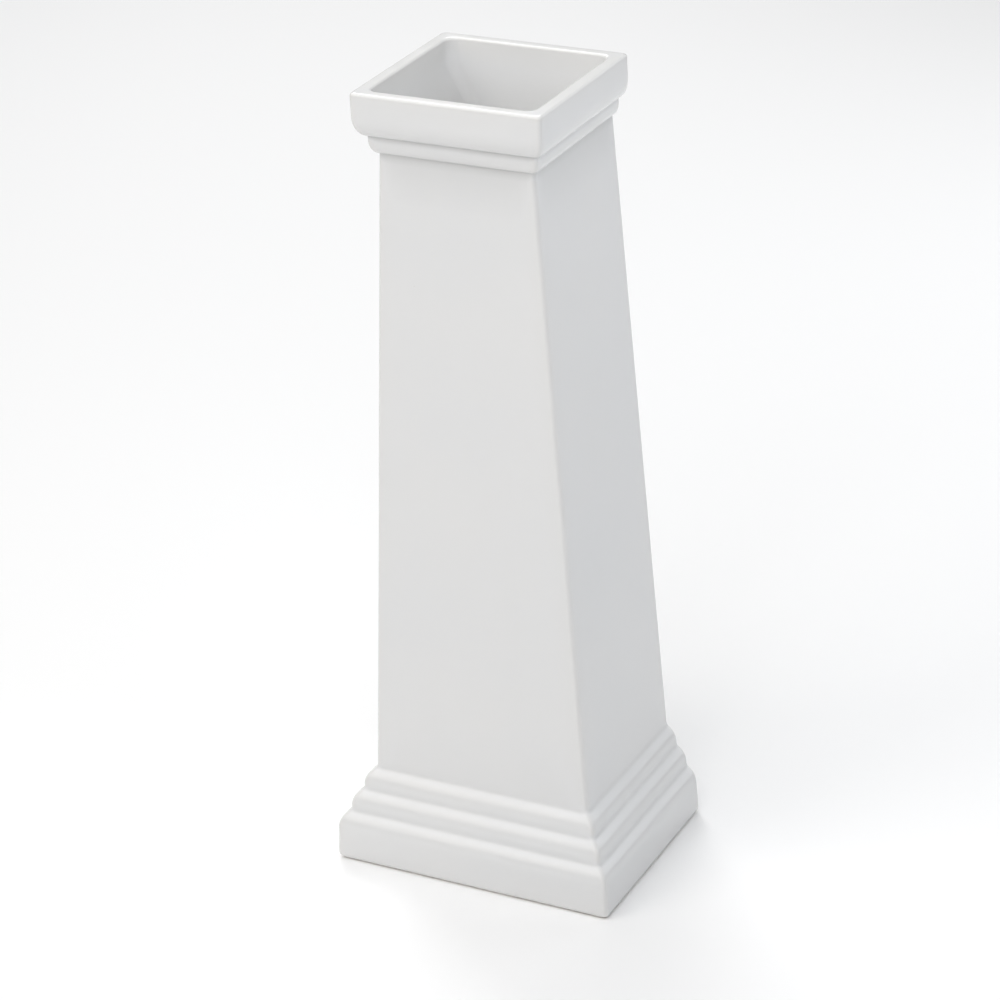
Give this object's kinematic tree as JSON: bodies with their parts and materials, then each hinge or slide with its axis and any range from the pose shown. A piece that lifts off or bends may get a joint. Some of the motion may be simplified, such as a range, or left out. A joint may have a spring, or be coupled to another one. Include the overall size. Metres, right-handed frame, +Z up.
{
  "type": "washbasin pedestal",
  "caption": "Square tapered pedestal of white glazed ceramic with a moulded capital and a stepped base, hollow and open at the back for pipes, that carries a wash basin.",
  "frame": {"origin": "on the floor, under the middle of the plinth's outline", "axes": "+Z up to the basin, +Y to the wall behind, -Y to the front, +X to the right seen from the front"},
  "size_m": [0.2564, 0.1894, 0.69],
  "materials": {
    "white_glaze": "gloss white glaze over a vitreous china body, bare on the foot ring and thin inside the hollow"
  },
  "bodies": {
    "root": {"pedestal": "white_glaze"}
  },
  "joints": []
}
